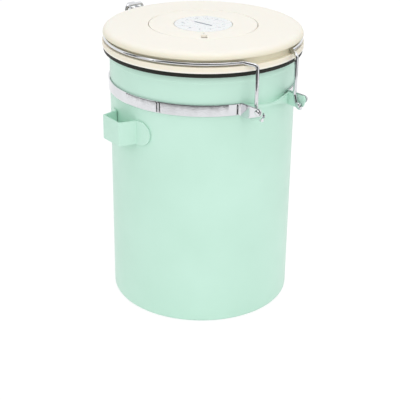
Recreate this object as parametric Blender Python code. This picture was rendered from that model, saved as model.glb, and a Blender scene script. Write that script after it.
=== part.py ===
"""Coffee canister: a painted steel can with a hinged lid, wire clamp, scoop hook and date dials.

Metres, +Z up. The origin is the middle of the base. The latch faces -Y and the hinge +Y.
Azimuths are in degrees round the can, 0 at the latch and 90 on +X.
"""
import math

import bmesh
import bpy
from mathutils import Matrix, Vector

# Fits and mesh fineness
SEAT_GAP = 0.0003
CUT_OVERRUN = 0.0010
ROUND_SEGMENTS = 48
SMALL_SEGMENTS = 14
SMOOTH_ANGLE = 35.0

# Can
BODY_RADIUS = 0.0585
BODY_HEIGHT = 0.1648
BODY_WALL = 0.0008
BASE_CORNER = 0.0024
FOOT_WIDTH = 0.0040
JOGGLE_DROP = 0.0046
JOGGLE_STEP = 0.00035
JOGGLE_RISE = 0.0008
BASE_THICKNESS = 0.0008
BASE_LAP = 0.0029

# Clamp band round the can, with its ends turned out as ears
BAND_DROP = 0.0242
BAND_HEIGHT = 0.0070
BAND_THICKNESS = 0.0008
EAR_THICKNESS = 0.0010
EAR_BELOW_BAND = 0.0008
EAR_ABOVE_BAND = 0.0006
EAR_TIP_RADIUS = 0.0024

# Latch: lever pivot out from the can and up from the band, and the crank from the pivot
PIVOT_REACH = 0.0124
PIVOT_RISE = 0.0054
CRANK_IN = 0.0008
CRANK_DROP = 0.0031
PIVOT_PIN_RADIUS = 0.0011
PIVOT_HEAD_RADIUS = 0.0019
PIN_HEAD_HEIGHT = 0.0008
CRANK_PIN_RADIUS = 0.0008
CRANK_HEAD_RADIUS = 0.0016
CHEEK_THICKNESS = 0.0008
CHEEK_TIP_RADIUS = 0.0022
CHEEK_LOBE_RADIUS = 0.0020
LEVER_STANDOFF = 0.0025
LEVER_SHEET = 0.0010
LEVER_HEIGHT = 0.0079
LEVER_BELOW_PIVOT = 0.0064
LEVER_WAIST = 0.0015
LEVER_WAIST_ABOVE = 0.0037
LEVER_DISH_SHARE = 0.15
LEVER_SECTIONS = 24

# Wire of the ring and its two front legs
WIRE_RADIUS = 0.00115
WIRE_BEND = 0.0022
BEND_STEPS = 5
BEND_SHARE = 0.49
GENTLE_TURN = 25.0
LEG_SPACING = 0.0320
LEG_REACH = 0.00735
LEG_TOP_DROP = 0.0008
LEG_SLANT_RISE = 0.0051
RING_EXIT_AZIMUTH = 19.0
HOOK_START_ANGLE = 195.0
HOOK_BEND_STEPS = 6
HOOK_FOOT = 0.0013

# Hinge at the back: a wire arch on the band, and the ring wire's curl round its crossbar
HINGE_REACH = 0.0115
HINGE_RISE = 0.0052
ARCH_SIDE_GAP = 0.0013
ARCH_FOOT_RISE = 0.0027
ARCH_SLANT_HEIGHT = 0.0065
CURL_SPACING = 0.0058
CURL_END_ANGLE = -50.0
CURL_STEPS = 3
CURL_TAIL = 0.0026
CURL_RUN = 0.0037
CURL_SLANT = 0.0034
SLEEVE_WALL = 0.0008
PLATE_THICKNESS = 0.0009
PLATE_MARGIN = 0.00325
PLATE_STEPS = 6

# Scoop hook strip
HOOK_AZIMUTH = -94.0
HOOK_BELOW_BAND = 0.0086
HOOK_HEIGHT = 0.0150
HOOK_SHEET = 0.0010
HOOK_REACH = 0.0110
HOOK_BASE_WIDTH = 0.0223
HOOK_FRONT_WIDTH = 0.0184
HOOK_SPAN = 0.0428
HOOK_TAB_STEPS = 5
HOOK_END_STEPS = 10

# Gasket and lid base
GASKET_OVERHANG = 0.0037
GASKET_HEIGHT = 0.0023
GASKET_EDGE = 0.0004
FLANGE_OVERHANG = 0.0043
FLANGE_HEIGHT = 0.0037
FLANGE_EDGE = 0.0007
GROOVE_DEPTH = 0.0032
NECK_HEIGHT = 0.0039
RING_LIFT = 0.0017
PLUG_CLEARANCE = 0.0032
PLUG_LIP = 0.0012
PLUG_DEPTH = 0.0046
PLUG_WALL = 0.0023
PLUG_FLOOR = 0.0020

# Lid cap
CAP_INSET = 0.0004
CAP_EDGE_DEPTH = 0.0043
CAP_EDGE_REACH = 0.0078
CAP_EDGE_POWER = 2.6
CAP_EDGE_STEPS = 6
CAP_CROWN = 0.0003
CAP_WALL = 0.0022
SPIGOT_INSET = 0.0008
SPIGOT_WALL = 0.0019
SPIGOT_DEPTH = 0.0029
RECESS_RADIUS = 0.0342
RECESS_DEPTH = 0.0027
RECESS_FLOOR = 0.0020

# Date dials
DATE_PLATE_THICKNESS = 0.0004
DATE_PLATE_BORE = 0.0050
DAY_RING_INSET = 0.0004
DAY_RING_THICKNESS = 0.0016
DAY_LIP_WIDTH = 0.0032
DAY_LIP_THICKNESS = 0.0006
MONTH_RADIUS = 0.01806
MONTH_GAP = 0.00034
DIAL_EDGE = 0.00025
STEM_RADIUS = 0.0031
STEM_TAIL = 0.0009
CLIP_RADIUS = 0.0065
CLIP_THICKNESS = 0.0007
WINDOW_AZIMUTH = -40.0
WINDOW_WIDTH = 0.0038
WINDOW_LENGTH = 0.0076
WINDOW_EDGE = 0.0014

# Freshness valve under the lid
VALVE_RADIUS = 0.0150
VALVE_THICKNESS = 0.0013
VALVE_BOSS_RADIUS = 0.0100
VALVE_BOSS_HEIGHT = 0.0011
FILTER_RADIUS = 0.0130
FILTER_THICKNESS = 0.0010
VALVE_COVER_WALL = 0.0009
VALVE_COVER_RIM = 0.0026
VALVE_COVER_THICKNESS = 0.0008
VENT_COUNT = 6
VENT_RADIUS = 0.0013
VENT_CIRCLE_RADIUS = 0.0075

# Places worked out from the sizes above
BODY_INNER = BODY_RADIUS - BODY_WALL
JOGGLE_HEIGHT = BODY_HEIGHT - JOGGLE_DROP
BAND_INNER = BODY_RADIUS + SEAT_GAP
BAND_OUTER = BAND_INNER + BAND_THICKNESS
BAND_BOTTOM = BODY_HEIGHT - BAND_DROP
BAND_TOP = BAND_BOTTOM + BAND_HEIGHT
HOOK_BOTTOM = BAND_BOTTOM - HOOK_BELOW_BAND - HOOK_HEIGHT
LEG_X = LEG_SPACING / 2
CHEEK_X = LEG_X + WIRE_RADIUS + SEAT_GAP
EAR_X = CHEEK_X + CHEEK_THICKNESS + SEAT_GAP
PIVOT_OUT = BODY_RADIUS + PIVOT_REACH
PIVOT_HEIGHT = BAND_BOTTOM + PIVOT_RISE
CRANK_OUT = PIVOT_OUT - CRANK_IN
CRANK_HEIGHT = PIVOT_HEIGHT - CRANK_DROP
LEG_HOOK_RADIUS = CRANK_PIN_RADIUS + SEAT_GAP + WIRE_RADIUS
LEG_OUT = BODY_RADIUS + LEG_REACH
GASKET_BOTTOM = BODY_HEIGHT + SEAT_GAP
FLANGE_BOTTOM = GASKET_BOTTOM + GASKET_HEIGHT + SEAT_GAP
FLANGE_TOP = FLANGE_BOTTOM + FLANGE_HEIGHT
NECK_TOP = FLANGE_TOP + NECK_HEIGHT
GASKET_RADIUS = BODY_RADIUS + GASKET_OVERHANG
FLANGE_RADIUS = BODY_RADIUS + FLANGE_OVERHANG
NECK_RADIUS = FLANGE_RADIUS - GROOVE_DEPTH
CAP_RADIUS = FLANGE_RADIUS - CAP_INSET
PLUG_RADIUS = BODY_INNER - PLUG_CLEARANCE
SPIGOT_RADIUS = PLUG_RADIUS - SPIGOT_INSET
RING_RADIUS = NECK_RADIUS + SEAT_GAP + WIRE_RADIUS
RING_HEIGHT = FLANGE_TOP + RING_LIFT
HINGE_OUT = BODY_RADIUS + HINGE_REACH
HINGE_HEIGHT = RING_HEIGHT + HINGE_RISE
WIRE_LAP = WIRE_RADIUS + SEAT_GAP + WIRE_RADIUS
SLEEVE_RADIUS = WIRE_RADIUS + SEAT_GAP + SLEEVE_WALL
SLEEVE_OUT = BAND_OUTER + SEAT_GAP + SLEEVE_RADIUS
ARCH_LEG = CURL_SPACING / 2 + 2 * WIRE_RADIUS + ARCH_SIDE_GAP
PLATE_SIDE = ARCH_LEG + SLEEVE_RADIUS + PLATE_MARGIN
CAP_BOTTOM = NECK_TOP + SEAT_GAP
CAP_TOP = CAP_BOTTOM + CAP_EDGE_DEPTH
RECESS_TOP = CAP_TOP + CAP_CROWN
RECESS_BOTTOM = RECESS_TOP - RECESS_DEPTH
PLUG_BOTTOM = BODY_HEIGHT - PLUG_DEPTH
VALVE_WELL_RADIUS = VALVE_RADIUS + SEAT_GAP + VALVE_COVER_WALL + SEAT_GAP
VALVE_BOTTOM = PLUG_BOTTOM + VALVE_BOSS_HEIGHT
FILTER_BOTTOM = VALVE_BOTTOM + VALVE_THICKNESS + SEAT_GAP
VALVE_WELL_TOP = FILTER_BOTTOM + FILTER_THICKNESS + SEAT_GAP

MINT = (0.590, 0.855, 0.725, 1.0)
CREAM = (0.940, 0.900, 0.800, 1.0)
WHITE = (0.900, 0.920, 0.940, 1.0)
PAPER = (0.860, 0.860, 0.840, 1.0)
BLACK = (0.030, 0.033, 0.030, 1.0)
STEEL = (0.780, 0.780, 0.790, 1.0)


def clear_scene():
    for item in list(bpy.data.objects):
        bpy.data.objects.remove(item)


def make_material(name, color, roughness, metallic):
    material = bpy.data.materials.new(name)
    material.use_nodes = True
    shader = material.node_tree.nodes["Principled BSDF"]
    shader.inputs["Base Color"].default_value = color
    shader.inputs["Roughness"].default_value = roughness
    shader.inputs["Metallic"].default_value = metallic
    return material


def place(name, data, finish):
    """Link new geometry as a named object with its own material."""
    item = bpy.data.objects.new(name, data)
    bpy.context.scene.collection.objects.link(item)
    color, roughness, metallic = finish
    item.data.materials.append(make_material(name, color, roughness, metallic))
    return item


def mesh_object(name, shape, finish):
    """Close a bmesh into a shaded mesh object with its faces pointing out."""
    bmesh.ops.recalc_face_normals(shape, faces=shape.faces)
    mesh = bpy.data.meshes.new(name)
    shape.to_mesh(mesh)
    shape.free()
    mesh.shade_smooth()
    mesh.set_sharp_from_angle(angle=math.radians(SMOOTH_ANGLE))
    return place(name, mesh, finish)


def combine(target, other, operation):
    """Cut, join or intersect the target with another object, which is then only a guide."""
    step = target.modifiers.new(other.name, "BOOLEAN")
    step.operation = operation
    step.object = other
    other.hide_render = True
    other.display_type = "WIRE"


def hang_on(axis, *items):
    """Parent pieces to the empty on their joint's axis, and leave them where they are."""
    for item in items:
        item.data.transform(Matrix.Translation(-axis.location))
        item.parent = axis


def joint_axis(name, location):
    axis = bpy.data.objects.new(name, None)
    axis.location = location
    bpy.context.scene.collection.objects.link(axis)
    return axis


def on_circle(radius, azimuth, height):
    angle = math.radians(azimuth)
    return Vector((radius * math.sin(angle), -radius * math.cos(angle), height))


def arc(centre, radius, first, last, steps):
    """Points on an arc in a plane, angles in degrees."""
    across, up = centre
    angles = [math.radians(first + (last - first) * step / steps) for step in range(steps + 1)]
    return [(across + radius * math.cos(angle), up + radius * math.sin(angle)) for angle in angles]


def turned(name, profile, finish, segments=ROUND_SEGMENTS):
    """Turn a closed outline of (radius, height) points about the Z axis."""
    shape = bmesh.new()
    points = [shape.verts.new((radius, 0, height)) for radius, height in profile]
    edges = [shape.edges.new(pair) for pair in zip(points, points[1:] + points[:1])]
    bmesh.ops.spin(
        shape,
        geom=points + edges,
        cent=(0, 0, 0),
        axis=(0, 0, 1),
        angle=math.tau,
        steps=segments,
        use_merge=True,
    )
    bmesh.ops.remove_doubles(shape, verts=shape.verts, dist=SEAT_GAP / 10)
    bmesh.ops.dissolve_degenerate(shape, dist=SEAT_GAP / 10, edges=shape.edges)
    return mesh_object(name, shape, finish)


def extruded(name, outline, travel, finish):
    """Extrude a flat closed outline of 3D points along a vector."""
    shape = bmesh.new()
    face = shape.faces.new([shape.verts.new(point) for point in outline])
    pushed = bmesh.ops.extrude_face_region(shape, geom=[face])
    moved = [item for item in pushed["geom"] if isinstance(item, bmesh.types.BMVert)]
    bmesh.ops.translate(shape, verts=moved, vec=travel)
    return mesh_object(name, shape, finish)


def lofted(name, sections, finish):
    """Skin a row of matching closed sections and cap both ends."""
    shape = bmesh.new()
    rows = [[shape.verts.new(point) for point in section] for section in sections]
    for near, far in zip(rows, rows[1:]):
        for index in range(len(near)):
            after = (index + 1) % len(near)
            shape.faces.new((near[index], near[after], far[after], far[index]))
    shape.faces.new(rows[0])
    shape.faces.new(rows[-1])
    return mesh_object(name, shape, finish)


def rod(name, start, travel, radius, finish, segments=SMALL_SEGMENTS):
    """Round bar from a start point along a vector."""
    travel = Vector(travel)
    turn = Vector((0, 0, 1)).rotation_difference(travel).to_matrix()
    ring = [turn @ Vector((*point, 0)) for point in arc((0, 0), radius, 0, 360, segments)[:-1]]
    return extruded(name, [Vector(start) + point for point in ring], travel, finish)


def joined_rods(name, starts, travel, radius):
    """Several equal round cutters as one object."""
    shape = bmesh.new()
    for start in starts:
        place_at = Matrix.Translation(Vector(start) + Vector(travel) / 2)
        bmesh.ops.create_cone(
            shape,
            cap_ends=True,
            segments=SMALL_SEGMENTS,
            radius1=radius,
            radius2=radius,
            depth=Vector(travel).length,
            matrix=place_at,
        )
    return mesh_object(name, shape, (STEEL, 0, 0))


def bent(corners, bend):
    """Round the corners of a route of 3D points, as far as its straight runs allow."""
    route = [corners[0]]
    for before, corner, after in zip(corners, corners[1:], corners[2:]):
        arriving = (corner - before).normalized()
        leaving = (after - corner).normalized()
        turn = arriving.angle(leaving)
        if turn < math.radians(GENTLE_TURN):
            route.append(corner)
            continue
        room = BEND_SHARE * min((corner - before).length, (after - corner).length)
        run = min(bend * math.tan(turn / 2), room)
        middle = corner + (leaving - arriving).normalized() * run / math.sin(turn / 2)
        spoke = corner - arriving * run - middle
        spin = arriving.cross(leaving)
        for step in range(BEND_STEPS + 1):
            route.append(middle + Matrix.Rotation(turn * step / BEND_STEPS, 3, spin) @ spoke)
    route.append(corners[-1])
    return route


def wire(name, route, finish):
    """Round wire along a route, with closed ends."""
    curve = bpy.data.curves.new(name, "CURVE")
    curve.dimensions = "3D"
    curve.bevel_depth = WIRE_RADIUS
    curve.bevel_resolution = 2
    curve.use_fill_caps = True
    spline = curve.splines.new("POLY")
    spline.points.add(len(route) - 1)
    for point, place_at in zip(spline.points, route):
        point.co = (*place_at, 1)
    spline.use_smooth = True
    return place(name, curve, finish)


PAINTED = (MINT, 0.45, 0)
CHROME = (STEEL, 0.12, 1)
MOULDED = (CREAM, 0.40, 0)
RUBBER = (BLACK, 0.70, 0)


def mirrored_wire(name, half):
    """Wire that runs the same way on both sides of the middle plane, from its half on +X."""
    other = [Vector((-point.x, point.y, point.z)) for point in half[1:]]
    return wire(name, other[::-1] + half, CHROME)


def body_shell():
    """Thin steel can with a turned-in foot and a slight step below its rim."""
    inner_corner = BASE_CORNER - BODY_WALL
    foot = BODY_RADIUS - BASE_CORNER - FOOT_WIDTH
    rim = BODY_RADIUS + JOGGLE_STEP
    centre_out = BODY_RADIUS - BASE_CORNER
    step_top = JOGGLE_HEIGHT + JOGGLE_RISE
    edge = BODY_WALL / 3
    profile = [(foot, 0)]
    profile += arc((centre_out, BASE_CORNER), BASE_CORNER, -90, 0, 3)
    profile += [
        (BODY_RADIUS, JOGGLE_HEIGHT),
        (rim, step_top),
        (rim, BODY_HEIGHT - edge),
        (rim - edge, BODY_HEIGHT),
        (rim - BODY_WALL, BODY_HEIGHT),
        (rim - BODY_WALL, step_top),
        (BODY_INNER, JOGGLE_HEIGHT),
    ]
    profile += arc((centre_out, BASE_CORNER), inner_corner, 0, -90, 2)
    profile += [(foot, BODY_WALL)]
    return turned("body_shell", profile, PAINTED)


def base_plate():
    """Pressed pan that closes the foot, lapped on the foot from inside."""
    foot = BODY_RADIUS - BASE_CORNER - FOOT_WIDTH
    pan = foot - SEAT_GAP
    lap_bottom = BODY_WALL + SEAT_GAP
    profile = [
        (0, 0),
        (pan, 0),
        (pan, lap_bottom),
        (foot + BASE_LAP, lap_bottom),
        (foot + BASE_LAP, lap_bottom + BASE_THICKNESS),
        (pan - BASE_THICKNESS, lap_bottom + BASE_THICKNESS),
        (pan - BASE_THICKNESS, BASE_THICKNESS),
        (0, BASE_THICKNESS),
    ]
    return turned("base_plate", profile, (STEEL, 0.35, 1))


def ear_outline(back, side):
    """Side view of an ear: tall at the band, narrowing to a round tip about the pivot."""
    bottom = BAND_BOTTOM - EAR_BELOW_BAND
    top = BAND_TOP + EAR_ABOVE_BAND
    tip = arc((PIVOT_OUT, PIVOT_HEIGHT), EAR_TIP_RADIUS, -75, 78, 8)
    outline = [(back, bottom), (BAND_OUTER + EAR_TIP_RADIUS, bottom), *tip, (back, top)]
    return [Vector((side, -out, height)) for out, height in outline]


def band_strap():
    """Strap welded round the can, open at the latch, where its ends turn out as two ears."""
    ear_middle = EAR_X + EAR_THICKNESS / 2
    first = math.degrees(math.asin(ear_middle / BAND_OUTER))
    steps = ROUND_SEGMENTS - 8
    sections = []
    for step in range(steps + 1):
        azimuth = first + (360 - 2 * first) * step / steps
        sections.append([
            on_circle(BAND_INNER, azimuth, BAND_BOTTOM),
            on_circle(BAND_OUTER, azimuth, BAND_BOTTOM),
            on_circle(BAND_OUTER, azimuth, BAND_TOP),
            on_circle(BAND_INNER, azimuth, BAND_TOP),
        ])
    strap = lofted("band_strap", sections, CHROME)
    back = math.sqrt(BAND_INNER ** 2 - EAR_X ** 2) + SEAT_GAP
    for side in (-1, 1):
        outline = ear_outline(back, side * EAR_X)
        ear = extruded("ear_guide", outline, (side * EAR_THICKNESS, 0, 0), CHROME)
        combine(strap, ear, "UNION")
        start = (side * (EAR_X - CUT_OVERRUN), -PIVOT_OUT, PIVOT_HEIGHT)
        travel = (side * (EAR_THICKNESS + 2 * CUT_OVERRUN), 0, 0)
        hole = rod("ear_hole", start, travel, PIVOT_PIN_RADIUS + SEAT_GAP, CHROME)
        combine(strap, hole, "DIFFERENCE")
    return strap


def hinge_bracket():
    """Curved plate on the band with an upright sleeve for each leg of the hinge arch."""
    inner = BAND_OUTER + SEAT_GAP
    outer = inner + PLATE_THICKNESS
    reach = math.degrees(math.asin(PLATE_SIDE / inner))
    sections = []
    for step in range(PLATE_STEPS + 1):
        azimuth = 180 - reach + 2 * reach * step / PLATE_STEPS
        sections.append([
            on_circle(inner, azimuth, BAND_BOTTOM),
            on_circle(outer, azimuth, BAND_BOTTOM),
            on_circle(outer, azimuth, BAND_TOP),
            on_circle(inner, azimuth, BAND_TOP),
        ])
    bracket = lofted("hinge_bracket", sections, CHROME)
    for side in (-1, 1):
        leg = side * ARCH_LEG
        start = (leg, SLEEVE_OUT, BAND_BOTTOM)
        sleeve = rod("sleeve_guide", start, (0, 0, BAND_HEIGHT), SLEEVE_RADIUS, CHROME)
        combine(bracket, sleeve, "UNION")
        start = (leg, SLEEVE_OUT, BAND_BOTTOM + SLEEVE_WALL)
        bore = rod("sleeve_bore", start, (0, 0, BAND_HEIGHT), WIRE_RADIUS + SEAT_GAP, CHROME)
        combine(bracket, bore, "DIFFERENCE")
    return bracket


def hinge_arch():
    """Wire arch that stands in the bracket's sleeves and rises behind the lid."""
    foot = BAND_TOP + ARCH_FOOT_RISE
    half = [
        Vector((0, HINGE_OUT, HINGE_HEIGHT)),
        Vector((ARCH_LEG, HINGE_OUT, HINGE_HEIGHT)),
        Vector((ARCH_LEG, HINGE_OUT, foot + ARCH_SLANT_HEIGHT)),
        Vector((ARCH_LEG, SLEEVE_OUT, foot)),
        Vector((ARCH_LEG, SLEEVE_OUT, BAND_BOTTOM + SLEEVE_WALL + SEAT_GAP)),
    ]
    return mirrored_wire("hinge_arch", bent(half, WIRE_BEND))


def scoop_hook():
    """Bent strip with a tab each side that lies on the can and a loop open at top and bottom."""
    tab_radius = BODY_RADIUS + SEAT_GAP + HOOK_SHEET / 2
    end = math.degrees(math.asin(HOOK_SPAN / 2 / tab_radius))
    fold = math.degrees(math.asin(HOOK_BASE_WIDTH / 2 / tab_radius))
    front_out = BODY_RADIUS + HOOK_REACH - HOOK_SHEET / 2
    front_side = HOOK_FRONT_WIDTH / 2 - HOOK_SHEET / 2
    half = [
        on_circle(tab_radius, end + (fold - end) * step / HOOK_TAB_STEPS, 0)
        for step in range(HOOK_TAB_STEPS + 1)
    ]
    half.append(Vector((front_side, -front_out, 0)))
    route = half + [Vector((-point.x, point.y, 0)) for point in reversed(half)]
    turn = Matrix.Rotation(math.radians(HOOK_AZIMUTH), 3, "Z")
    shape = bmesh.new()
    low = [shape.verts.new(turn @ point + Vector((0, 0, HOOK_BOTTOM))) for point in route]
    edges = [shape.edges.new(pair) for pair in zip(low, low[1:])]
    pushed = bmesh.ops.extrude_edge_only(shape, edges=edges)
    moved = [item for item in pushed["geom"] if isinstance(item, bmesh.types.BMVert)]
    bmesh.ops.translate(shape, verts=moved, vec=(0, 0, HOOK_HEIGHT))
    hook = mesh_object("scoop_hook", shape, PAINTED)
    sheet = hook.modifiers.new("sheet", "SOLIDIFY")
    sheet.thickness = HOOK_SHEET
    sheet.offset = 0
    sheet.use_even_offset = True
    combine(hook, hook_ends(turn), "INTERSECT")
    return hook


def hook_ends(turn):
    """Prism with half-round ends that gives the tabs their outline."""
    radius = HOOK_HEIGHT / 2
    side = HOOK_SPAN / 2 - radius
    middle = HOOK_BOTTOM + radius
    outline = arc((side, middle), radius, -90, 90, HOOK_END_STEPS)
    outline += arc((-side, middle), radius, 90, 270, HOOK_END_STEPS)
    start = BODY_RADIUS - HOOK_REACH
    points = [turn @ Vector((across, -start, height)) for across, height in outline]
    travel = turn @ Vector((0, -HOOK_REACH * 2 - CUT_OVERRUN, 0))
    return extruded("hook_outline", points, travel, PAINTED)


def pin(name, side, out, height, profile, finish):
    """Turned pin along X, from an outline of (radius, distance from the middle plane)."""
    item = turned(name, profile, finish, SMALL_SEGMENTS)
    stand = Matrix.Rotation(math.radians(90 * side), 4, "Y")
    item.data.transform(Matrix.Translation((0, -out, height)) @ stand)
    return item


def pivot_pin(name, side):
    """Rivet in an ear, which carries a cheek of the lever."""
    head = EAR_X + EAR_THICKNESS + SEAT_GAP
    end = CHEEK_X + SEAT_GAP / 2
    profile = [
        (0, end),
        (PIVOT_PIN_RADIUS, end),
        (PIVOT_PIN_RADIUS, head),
        (PIVOT_HEAD_RADIUS, head),
        (PIVOT_HEAD_RADIUS, head + PIN_HEAD_HEIGHT / 2),
        (PIVOT_HEAD_RADIUS * 0.7, head + PIN_HEAD_HEIGHT),
        (0, head + PIN_HEAD_HEIGHT),
    ]
    return pin(name, side, PIVOT_OUT, PIVOT_HEIGHT, profile, CHROME)


def crank_pin(name, side):
    """Stud in the lobe of a cheek, just past dead centre below the pivot, over the leg's hook."""
    head = LEG_X - WIRE_RADIUS - SEAT_GAP
    end = CHEEK_X + CHEEK_THICKNESS - SEAT_GAP / 2
    profile = [
        (0, head - PIN_HEAD_HEIGHT),
        (CRANK_HEAD_RADIUS, head - PIN_HEAD_HEIGHT),
        (CRANK_HEAD_RADIUS, head),
        (CRANK_PIN_RADIUS, head),
        (CRANK_PIN_RADIUS, end),
        (0, end),
    ]
    return pin(name, side, CRANK_OUT, CRANK_HEIGHT, profile, CHROME)


def latch_lever():
    """Pressed lever: a dished bar between two cheeks that turn on the ears and carry the studs."""
    inner = BODY_RADIUS + LEVER_STANDOFF
    outer = inner + LEVER_SHEET
    bottom = PIVOT_HEIGHT - LEVER_BELOW_PIVOT
    top = bottom + LEVER_HEIGHT
    waist_bottom = bottom + LEVER_WAIST_ABOVE
    waist_top = waist_bottom + LEVER_WAIST
    reach = math.asin((CHEEK_X + CHEEK_THICKNESS / 2) / outer)
    dish = LEVER_DISH_SHARE
    sections = []
    for step in range(LEVER_SECTIONS + 1):
        share = 2 * step / LEVER_SECTIONS - 1
        rise = (math.hypot(share, dish) - dish) / (math.hypot(1, dish) - dish)
        high = waist_top + (top - waist_top) * rise
        low = waist_bottom + (bottom - waist_bottom) * share ** 2
        azimuth = math.degrees(reach * share)
        sections.append([
            on_circle(inner, azimuth, low),
            on_circle(outer, azimuth, low),
            on_circle(outer, azimuth, high),
            on_circle(inner, azimuth, high),
        ])
    lever = lofted("latch_lever", sections, PAINTED)
    back = inner * math.cos(reach)
    lobe = arc((CRANK_OUT, CRANK_HEIGHT), CHEEK_LOBE_RADIUS, -110, -15, 6)
    tip = arc((PIVOT_OUT, PIVOT_HEIGHT), CHEEK_TIP_RADIUS, -15, 85, 6)
    outline = [(back, bottom), (LEG_OUT, bottom), *lobe, *tip, (back + LEVER_STANDOFF * 2, top), (back, top)]
    for side in (-1, 1):
        points = [Vector((side * CHEEK_X, -out, height)) for out, height in outline]
        cheek = extruded("cheek_guide", points, (side * CHEEK_THICKNESS, 0, 0), PAINTED)
        combine(lever, cheek, "UNION")
        for out, height, radius in (
            (PIVOT_OUT, PIVOT_HEIGHT, PIVOT_PIN_RADIUS),
            (CRANK_OUT, CRANK_HEIGHT, CRANK_PIN_RADIUS),
        ):
            start = (side * (CHEEK_X - CUT_OVERRUN), -out, height)
            travel = (side * (CHEEK_THICKNESS + 2 * CUT_OVERRUN), 0, 0)
            hole = rod("cheek_hole", start, travel, radius + SEAT_GAP, PAINTED)
            combine(lever, hole, "DIFFERENCE")
    return lever


def ring_wire():
    """One wire: curl round the arch, two arms in the groove, and a leg with a hook at each end."""
    side = CURL_SPACING / 2
    rear = 180 - math.degrees(math.asin(side / RING_RADIUS))
    steps = ROUND_SEGMENTS // 2 - 4
    centre = (HINGE_OUT, HINGE_HEIGHT)
    curl = arc(centre, WIRE_LAP, CURL_END_ANGLE, -90, CURL_STEPS)
    under = HINGE_HEIGHT - WIRE_LAP
    angle = math.radians(CURL_END_ANGLE)
    bar_out = curl[0][0] - CURL_TAIL * math.sin(angle)
    bar_height = curl[0][1] + CURL_TAIL * math.cos(angle)
    half = [Vector((0, bar_out, bar_height)), Vector((side, bar_out, bar_height))]
    half += [Vector((side, out, height)) for out, height in curl]
    half += [
        Vector((side, HINGE_OUT - CURL_RUN, under)),
        Vector((side, HINGE_OUT - CURL_RUN - CURL_SLANT, RING_HEIGHT)),
    ]
    for step in range(steps + 1):
        azimuth = rear + (RING_EXIT_AZIMUTH - rear) * step / steps
        half.append(on_circle(RING_RADIUS, azimuth, RING_HEIGHT))
    half.append(Vector((LEG_X, -LEG_OUT, RING_HEIGHT - LEG_TOP_DROP)))
    half.append(Vector((LEG_X, -LEG_OUT, CRANK_HEIGHT + LEG_SLANT_RISE)))
    hook = arc((CRANK_OUT, CRANK_HEIGHT), LEG_HOOK_RADIUS, HOOK_START_ANGLE, 270, HOOK_BEND_STEPS)
    half += [Vector((LEG_X, -out, height)) for out, height in hook]
    half.append(Vector((LEG_X, -CRANK_OUT - HOOK_FOOT, CRANK_HEIGHT - LEG_HOOK_RADIUS)))
    return mirrored_wire("ring_wire", bent(half, WIRE_BEND))


def lid_gasket():
    """Flat silicone ring between the rim and the flange."""
    inner = PLUG_RADIUS + SEAT_GAP
    top = GASKET_BOTTOM + GASKET_HEIGHT
    profile = [
        (inner, GASKET_BOTTOM),
        (GASKET_RADIUS - GASKET_EDGE, GASKET_BOTTOM),
        (GASKET_RADIUS, GASKET_BOTTOM + GASKET_EDGE),
        (GASKET_RADIUS, top - GASKET_EDGE),
        (GASKET_RADIUS - GASKET_EDGE, top),
        (inner, top),
    ]
    return turned("lid_gasket", profile, RUBBER)


def lid_base():
    """Inner lid: flange, groove neck and a plug pan with the valve well in its floor."""
    pan = PLUG_RADIUS - PLUG_WALL
    floor = PLUG_BOTTOM + PLUG_FLOOR
    well_roof = VALVE_WELL_TOP + PLUG_FLOOR
    well_wall = VALVE_WELL_RADIUS + PLUG_WALL
    profile = [
        (0, VALVE_WELL_TOP),
        (VALVE_WELL_RADIUS, VALVE_WELL_TOP),
        (VALVE_WELL_RADIUS, PLUG_BOTTOM),
        (PLUG_RADIUS, PLUG_BOTTOM),
        (PLUG_RADIUS + PLUG_LIP, PLUG_BOTTOM + PLUG_LIP),
        (PLUG_RADIUS + PLUG_LIP, GASKET_BOTTOM - SEAT_GAP),
        (PLUG_RADIUS, GASKET_BOTTOM - SEAT_GAP),
        (PLUG_RADIUS, FLANGE_BOTTOM),
        (FLANGE_RADIUS - FLANGE_EDGE, FLANGE_BOTTOM),
        (FLANGE_RADIUS, FLANGE_BOTTOM + FLANGE_EDGE),
        (FLANGE_RADIUS, FLANGE_TOP - FLANGE_EDGE),
        (FLANGE_RADIUS - FLANGE_EDGE, FLANGE_TOP),
        (NECK_RADIUS, FLANGE_TOP),
        (NECK_RADIUS, NECK_TOP),
        (SPIGOT_RADIUS + SEAT_GAP, NECK_TOP),
        (SPIGOT_RADIUS + SEAT_GAP, FLANGE_TOP),
        (pan, FLANGE_TOP),
        (pan, floor),
        (well_wall, floor),
        (well_wall, well_roof),
        (0, well_roof),
    ]
    base = turned("lid_base", profile, MOULDED)
    starts = [
        on_circle(VENT_CIRCLE_RADIUS, 360 * vent / VENT_COUNT, VALVE_WELL_TOP - CUT_OVERRUN)
        for vent in range(VENT_COUNT)
    ]
    travel = (0, 0, PLUG_FLOOR + 2 * CUT_OVERRUN)
    combine(base, joined_rods("vent_holes", starts, travel, VENT_RADIUS), "DIFFERENCE")
    return base


def cap_edge():
    """Rounded outer edge of the cap, from its bottom up to its flat top."""
    points = []
    for step in range(CAP_EDGE_STEPS + 1):
        angle = math.radians(90 * step / CAP_EDGE_STEPS)
        out = math.cos(angle) ** (2 / CAP_EDGE_POWER)
        rise = math.sin(angle) ** (2 / CAP_EDGE_POWER)
        radius = CAP_RADIUS - CAP_EDGE_REACH * (1 - out)
        points.append((radius, CAP_BOTTOM + CAP_EDGE_DEPTH * rise))
    return points


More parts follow.
